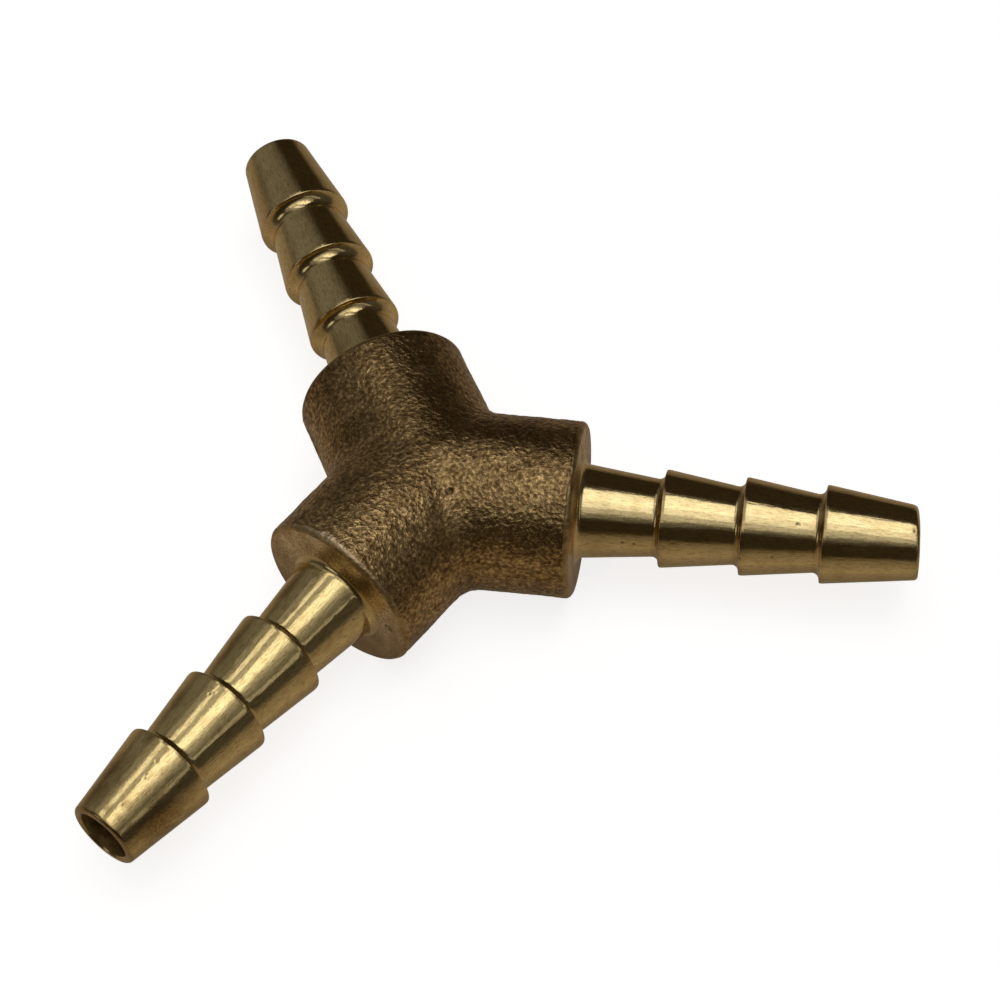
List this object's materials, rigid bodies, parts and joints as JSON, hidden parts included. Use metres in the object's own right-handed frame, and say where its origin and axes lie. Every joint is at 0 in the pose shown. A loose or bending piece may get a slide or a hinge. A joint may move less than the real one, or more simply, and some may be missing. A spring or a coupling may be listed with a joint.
{
  "type": "barbed hose wye connector",
  "caption": "Three-way brass hose connector: a cast hub with barbed hose tails at 120 degrees in one plane.",
  "frame": {"origin": "point where the axes of the three bores meet, at the hub's centre", "axes": "+Z square to the plane of the three legs, +X along leg A, legs B and C 120 and 240 degrees round +Z from it"},
  "size_m": [0.0545, 0.0628, 0.0126],
  "materials": {
    "cast_brass": "as cast, sand texture, dull brown patina",
    "turned_brass": "turned, bright, lightly tarnished"
  },
  "bodies": {
    "root": {"hub_casting": "cast_brass", "hose_tail_a": "turned_brass", "hose_tail_b": "turned_brass", "hose_tail_c": "turned_brass"}
  },
  "joints": []
}
